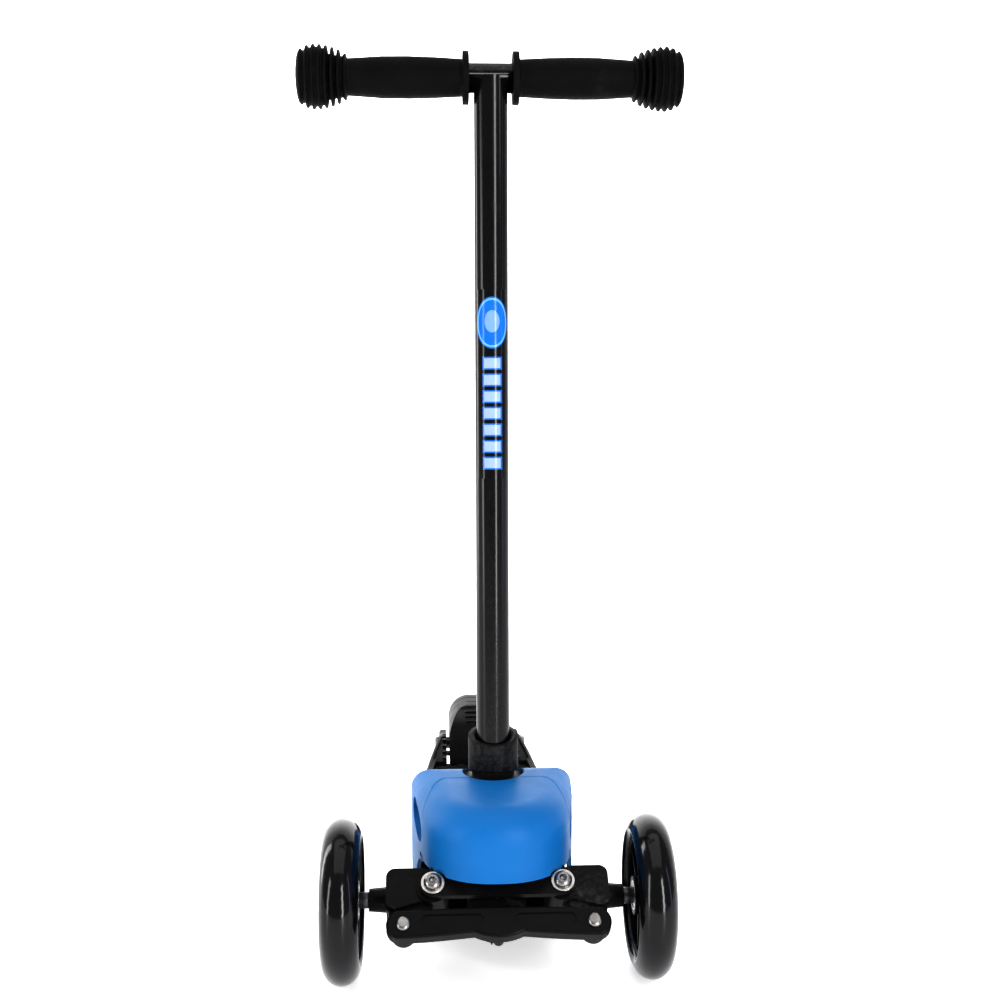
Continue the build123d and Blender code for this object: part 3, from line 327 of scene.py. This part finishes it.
ASSIGN = {
    "nylon": ["deck_frame", "steering_bracket", "stem_socket", "neck_sleeve", "stem_plug", "release_button"],
    "knuckle": ["left_knuckle", "right_knuckle"],
    "tiebar": ["tie_bar"],
    "collar": ["stem_collar"],
    "mat": ["foot_mat"],
    "blue": ["front_hood", "nose_shroud"],
    "paint": ["t_bar_tube"],
    "grip": ["left_grip", "right_grip"],
    "gloss": ["rear_fender"],
    "pu": ["left_front_tyre", "right_front_tyre", "rear_tyre"],
    "hub": ["left_front_hub", "right_front_hub", "rear_hub"],
    "zinc": ["deck_screws", "hood_screws", "kingpin_washers", "kingpin_nuts", "spring_post", "rear_spacer", "left_front_spacer", "right_front_spacer"],
    "pin": ["kingpin_bolts", "left_tie_pin", "right_tie_pin", "left_front_axle", "right_front_axle", "rear_axle", "rear_axle_nut"],
    "washer": ["brake_pin", "rear_side_spacers", "left_axle_spacer", "right_axle_spacer"],
    "spring": ["centring_spring", "release_spring", "brake_spring", "brake_pad"],
    "bearing": ["left_front_bearings", "right_front_bearings", "rear_bearings"],
    "brass": ["left_knuckle_bushes", "right_knuckle_bushes"],
}
BEVEL = {"deck_frame": 1.1, "steering_bracket": 1.0, "left_knuckle": 1.3, "right_knuckle": 1.3, "tie_bar": 0.5, "front_hood": 0.5, "nose_shroud": 0.7, "rear_fender": 0.8,
         "release_button": 0.5, "stem_socket": 0.6, "kingpin_washers": 0.25, "kingpin_nuts": 0.4, "rear_axle_nut": 0.5, "foot_mat": 0.3,
         "left_front_hub": 0.5, "right_front_hub": 0.5, "rear_hub": 0.5, "left_front_tyre": 0.8, "right_front_tyre": 0.8, "rear_tyre": 0.8}
for mk, names in ASSIGN.items():
    for n in names:
        o = NODES[n]
        for i in range(max(1, len(o.material_slots))):
            if len(o.material_slots) == 0:
                o.data.materials.append(M[mk])
            else:
                o.material_slots[i].material = M[mk]
        w = o.modifiers.new("weld", "WELD")
        w.merge_threshold = 0.00001
        if n in BEVEL:
            bv = o.modifiers.new("bevel", "BEVEL")
            bv.width = BEVEL[n] / 1000.0
            bv.segments = 2
            bv.limit_method = "ANGLE"
            bv.angle_limit = math.radians(38)
            bv.use_clamp_overlap = True
            bv.harden_normals = False
        wn = o.modifiers.new("wn", "WEIGHTED_NORMAL")
        wn.keep_sharp = False


def add_mesh(name, verts, faces, mat, smooth=True):
    me = bpy.data.meshes.new(name)
    me.from_pydata([tuple(v) for v in verts], [], faces)
    me.update()
    bm = bmesh.new()
    bm.from_mesh(me)
    bmesh.ops.recalc_face_normals(bm, faces=bm.faces)
    bm.to_mesh(me)
    bm.free()
    for p in me.polygons:
        p.use_smooth = smooth
    o = bpy.data.objects.new(name, me)
    bpy.context.scene.collection.objects.link(o)
    me.materials.append(mat)
    return o


# ------------------------------------------------------------------ decal: plain oval badge and bars, no letters
def decal_mat():
    mt, nt, b = new_mat("decal_print")
    uv = nt.nodes.new("ShaderNodeUVMap")
    sep = nt.nodes.new("ShaderNodeSeparateXYZ")
    nt.links.new(uv.outputs["UV"], sep.inputs[0])
    u, v = sep.outputs[0], sep.outputs[1]        # millimetres: u across, v up
    # oval badge
    r = math_n(nt, "SQRT", math_n(nt, "ADD", math_n(nt, "POWER", math_n(nt, "DIVIDE", u, 13.5), 2.0), math_n(nt, "POWER", math_n(nt, "DIVIDE", math_n(nt, "SUBTRACT", v, 117.0), 19.5), 2.0)))
    badge = maprange(nt, r, 0.985, 1.0, 1.0, 0.0)
    ringm = math_n(nt, "MULTIPLY", maprange(nt, r, 0.86, 0.875, 0.0, 1.0), maprange(nt, r, 0.93, 0.945, 1.0, 0.0))
    # plain lighter disc half inside the badge
    r2 = math_n(nt, "SQRT", math_n(nt, "ADD", math_n(nt, "POWER", math_n(nt, "DIVIDE", u, 6.0), 2.0), math_n(nt, "POWER", math_n(nt, "DIVIDE", math_n(nt, "SUBTRACT", v, 118.0), 8.5), 2.0)))
    disc = maprange(nt, r2, 0.96, 1.0, 1.0, 0.0)
    # bars below it: rounded dashes of equal size
    fr = math_n(nt, "FRACT", math_n(nt, "DIVIDE", math_n(nt, "SUBTRACT", v, 5.5), 12.5))
    au = math_n(nt, "ABSOLUTE", u)
    dash = math_n(nt, "MULTIPLY", maprange(nt, math_n(nt, "ABSOLUTE", math_n(nt, "SUBTRACT", fr, 0.5)), 0.29, 0.31, 1.0, 0.0), maprange(nt, au, 6.2, 6.6, 1.0, 0.0))
    inband = math_n(nt, "MULTIPLY", maprange(nt, v, 5.4, 5.6, 0.0, 1.0), maprange(nt, v, 93.0, 93.3, 1.0, 0.0))
    dash = math_n(nt, "MULTIPLY", dash, inband)
    halo = math_n(nt, "MULTIPLY", maprange(nt, math_n(nt, "ABSOLUTE", math_n(nt, "SUBTRACT", fr, 0.5)), 0.38, 0.40, 1.0, 0.0), maprange(nt, au, 7.6, 8.0, 1.0, 0.0))
    halo = math_n(nt, "MULTIPLY", halo, inband)
    col = mixc(nt, halo, rgb(0.0030, 0.0030, 0.0034), rgb(0.010, 0.14, 0.52))
    col = mixc(nt, dash, col, rgb(0.32, 0.42, 0.58))
    col = mixc(nt, badge, col, rgb(0.008, 0.155, 0.60))
    col = mixc(nt, ringm, col, rgb(0.16, 0.42, 0.80))
    col = mixc(nt, disc, col, rgb(0.20, 0.34, 0.54))
    vv = obj_coord(nt)
    col = mixc(nt, maprange(nt, noise(nt, vv, 400.0, 4.0, 0.7), 0.62, 0.75, 0.0, 0.25), col, rgb(0.02, 0.03, 0.05))
    nt.links.new(col, b.inputs["Base Color"])
    nt.links.new(maprange(nt, noise(nt, vv, 80.0, 6.0, 0.6), 0.3, 0.75, 0.13, 0.22), b.inputs["Roughness"])
    nt.links.new(bump(nt, noise(nt, vv, 420.0, 2.0, 0.5), 0.05, 0.0003), b.inputs["Normal"])
    b.inputs["Specular IOR Level"].default_value = 0.22
    b.inputs["Coat Weight"].default_value = 0.12
    b.inputs["Coat Roughness"].default_value = 0.06
    return mt


def decal():
    R = 12.7 + 0.05
    z0, z1 = 364.0, 506.0
    nz, na = 40, 40
    vs, fs, uvs = [], [], []
    a0 = math.radians(95)
    half = math.radians(64)
    for i in range(nz + 1):
        z = z0 + (z1 - z0) * i / nz
        c = on_stem(z)
        for j in range(na + 1):
            a = -half + 2 * half * j / na
            q = c + (Vector((1, 0, 0)) * math.sin(a) - V * math.cos(a)) * (R / 1000.0)
            vs.append(q)
            uvs.append((a * R, (z - z0)))
    for i in range(nz):
        for j in range(na):
            k = i * (na + 1) + j
            fs.append((k, k + 1, k + na + 2, k + na + 1))
    # underside of the thin film and its four narrow rims
    n0 = len(vs)
    for i in range(nz + 1):
        for j in range(na + 1):
            q = vs[i * (na + 1) + j]
            c = on_stem(z0 + (z1 - z0) * i / nz)
            vs.append(c + (q - c) * ((R - 0.045) / R))
            uvs.append((999.0, 999.0))
    for i in range(nz):
        for j in range(na):
            k = n0 + i * (na + 1) + j
            fs.append((k, k + na + 1, k + na + 2, k + 1))
    loop = [j for j in range(na + 1)] + [i * (na + 1) + na for i in range(1, nz + 1)] + [nz * (na + 1) + j for j in range(na - 1, -1, -1)] + [i * (na + 1) for i in range(nz - 1, 0, -1)]
    for a, b2 in zip(loop, loop[1:] + loop[:1]):
        m0 = len(vs)
        vs.extend([vs[a].copy(), vs[b2].copy(), vs[n0 + b2].copy(), vs[n0 + a].copy()])
        uvs.extend([(999.0, 999.0)] * 4)
        fs.append((m0, m0 + 3, m0 + 2, m0 + 1))
    o = add_mesh("stem_decal", vs, fs, M["decal"])
    me = o.data
    uvl = me.uv_layers.new(name="UVMap")
    for p in me.polygons:
        for li in p.loop_indices:
            uvl.data[li].uv = uvs[me.loops[li].vertex_index]
    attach(o, "t_bar")
    return o


M["decal"] = decal_mat()
decal()

# ------------------------------------------------------------------ helical springs in place of the plain sleeves
def tube_curve(name, pts, r, mat, body, replaces=()):
    cu = bpy.data.curves.new(name, "CURVE")
    cu.dimensions = "3D"
    sp = cu.splines.new("POLY")
    sp.points.add(len(pts) - 1)
    for p, q in zip(sp.points, pts):
        p.co = (q[0], q[1], q[2], 1.0)
    cu.bevel_depth = r
    cu.bevel_resolution = 3
    cu.use_fill_caps = True
    cu.materials.append(mat)
    o = bpy.data.objects.new(name, cu)
    bpy.context.scene.collection.objects.link(o)
    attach(o, body)
    if replaces:
        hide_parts(*replaces)
    return o


KA = math.radians(50)
KN = Vector((0, -math.cos(KA), math.sin(KA)))
KW = Vector((0, math.sin(KA), math.cos(KA)))


def knp(u, w, t):
    return P(0, -5, 60) + Vector((u / 1000.0, 0, 0)) + (KW * w + KN * t) / 1000.0


pts = [knp(-4.9, -34.0, 0.5), knp(-4.9, -20.0, 0.5), knp(-6.2, -12.0, 0.3)]
turns = 5
for i in range(turns * 24 + 1):
    a = math.radians(200 + 360 * i / 24)
    t = 0.2 + (6.6 - 0.2) * i / (turns * 24)
    pts.append(knp(7.6 * math.cos(a), -3 + 7.6 * math.sin(a), t - 1.0))
pts += [knp(4.9, -13.0, 6.4), knp(4.9, -34.0, 6.5)]
tube_curve("centring_spring_wire", pts, 0.00065, M["spring"], "frame", ["centring_spring"])
pts = [P(6.2, 372.0, 66.0), P(6.2, 368.0, 54.0)]
for i in range(6 * 24 + 1):
    a = 2 * math.pi * i / 24
    pts.append(P(6.2 - 12.4 * i / 144.0, 371 - 3.6 * math.cos(a), 50 + 3.6 * math.sin(a)))
pts += [P(-6.2, 364, 46.2), P(-6.2, 345.5, 44.6)]
tube_curve("brake_spring_wire", pts, 0.00055, M["spring"], "frame", ["brake_spring"])


# latch spring: a short coil, built at rest; the real one closes up as the latch plate is pressed
def latch_spring():
    p0 = on_stem(116.0) - V * 0.0210
    X = Vector((1, 0, 0))
    pts = []
    for i in range(4 * 24 + 1):
        a = 2 * math.pi * i / 24
        pts.append(p0 + (X * math.cos(a) + D * math.sin(a)) * 0.0013 + V * (0.0003 + 0.0033 * i / 96.0))
    cu = bpy.data.curves.new("latch_coil", "CURVE")
    cu.dimensions = "3D"
    sp = cu.splines.new("POLY")
    sp.points.add(len(pts) - 1)
    for p, q in zip(sp.points, pts):
        p.co = (q[0], q[1], q[2], 1.0)
    cu.bevel_depth = 0.00025
    cu.bevel_resolution = 2
    cu.use_fill_caps = True
    tmp = bpy.data.objects.new("latch_coil_tmp", cu)
    bpy.context.scene.collection.objects.link(tmp)
    bpy.context.view_layer.update()
    me = bpy.data.meshes.new_from_object(tmp)
    bpy.data.objects.remove(tmp)
    me.materials.clear()
    me.materials.append(M["spring"])
    o = bpy.data.objects.new("release_spring_wire", me)
    bpy.context.scene.collection.objects.link(o)
    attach(o, "frame")
    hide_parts("release_spring")
    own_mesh(o)


latch_spring()

# raised ribs across the crown of the brake fender
for n, (yy, zz) in enumerate(((376.5, 80.6), (384.5, 83.3), (393.5, 85.6), (404.0, 87.7), (417.0, 89.1))):
    pts = []
    for k in range(33):
        x = -17.0 + 34.0 * k / 32
        ax = abs(x)
        z = zz - (0.0 if ax <= 10 else 21.0 - math.sqrt(441.0 - (ax - 10) ** 2))
        pts.append(P(x, yy, z + 0.15 - 1.4 * max(0.0, (ax - 13.0) / 4.0) ** 2))
    tube_curve("fender_rib_%d" % (n + 1), pts, 0.00095, M["gloss"], "brake")


# ------------------------------------------------------------------ floor, backdrop and light
def stage():
    me = bpy.data.meshes.new("floor")
    # one sheet: floor with a wide sweep up behind
    prof = [(-14.0, 0.0), (1.6, 0.0)] + [(1.6 + 1.0 * math.sin(a), 1.0 - 1.0 * math.cos(a)) for a in [math.radians(d) for d in range(6, 91, 6)]] + [(2.6, 4.0)]
    vs, fs = [], []
    for (y, z) in prof:
        vs += [(-14, y, z - 0.0002), (14, y, z - 0.0002)]
    for i in range(len(prof) - 1):
        fs.append((2 * i, 2 * i + 1, 2 * i + 3, 2 * i + 2))
    me.from_pydata(vs, [], fs)
    for p in me.polygons:
        p.use_smooth = True
    o = bpy.data.objects.new("floor", me)
    bpy.context.scene.collection.objects.link(o)
    mt, nt, b = new_mat("floor_white")
    v = obj_coord(nt)
    nt.links.new(ramp(nt, noise(nt, v, 3.0, 3.0, 0.5), [(0.3, rgb(0.90, 0.90, 0.905)), (0.7, rgb(0.93, 0.93, 0.935))]), b.inputs["Base Color"])
    nt.links.new(maprange(nt, noise(nt, v, 30.0, 4.0, 0.5), 0.3, 0.7, 0.30, 0.40), b.inputs["Roughness"])
    b.inputs["Specular IOR Level"].default_value = 0.25
    b.inputs["Emission Color"].default_value = (1.0, 0.99, 0.99, 1.0)
    b.inputs["Emission Strength"].default_value = 0.58
    me.materials.append(mt)


stage()


def area(name, loc, target, size, size_y, power, color=(1, 1, 1)):
    l = bpy.data.lights.new(name, "AREA")
    l.shape = "RECTANGLE"
    l.size = size
    l.size_y = size_y
    l.energy = power
    l.color = color
    o = bpy.data.objects.new(name, l)
    bpy.context.scene.collection.objects.link(o)
    o.location = loc
    d = (Vector(target) - Vector(loc)).normalized()
    o.rotation_euler = d.to_track_quat("-Z", "Y").to_euler()
    return o


area("key_top", (0.0, -0.25, 2.6), (0, 0, 0.2), 2.6, 2.6, 28)
area("front_strip", (1.0, -2.25, 0.95), (0, 0, 0.35), 0.42, 1.9, 44)
area("side_strip", (1.95, -0.85, 0.8), (0, 0, 0.35), 0.22, 1.6, 5, (0.45, 0.55, 1.0))
area("left_rear_strip", (-1.45, 0.55, 0.7), (0, 0, 0.35), 0.30, 1.7, 14)
area("left_front_strip", (-1.5, -1.0, 0.6), (0, 0, 0.2), 0.30, 1.2, 12)
area("backdrop_light", (0.0, 1.1, 1.6), (0, 2.6, 0.9), 3.0, 1.6, 70)

w = bpy.data.worlds.new("world")
bpy.context.scene.world = w
w.use_nodes = True
bg = w.node_tree.nodes["Background"]
bg.inputs["Color"].default_value = (1.0, 1.0, 1.0, 1.0)
bg.inputs["Strength"].default_value = 0.40
bpy.context.scene.view_settings.view_transform = "Standard"
bpy.context.scene.view_settings.exposure = 0.0
bpy.context.scene.view_settings.gamma = 0.8
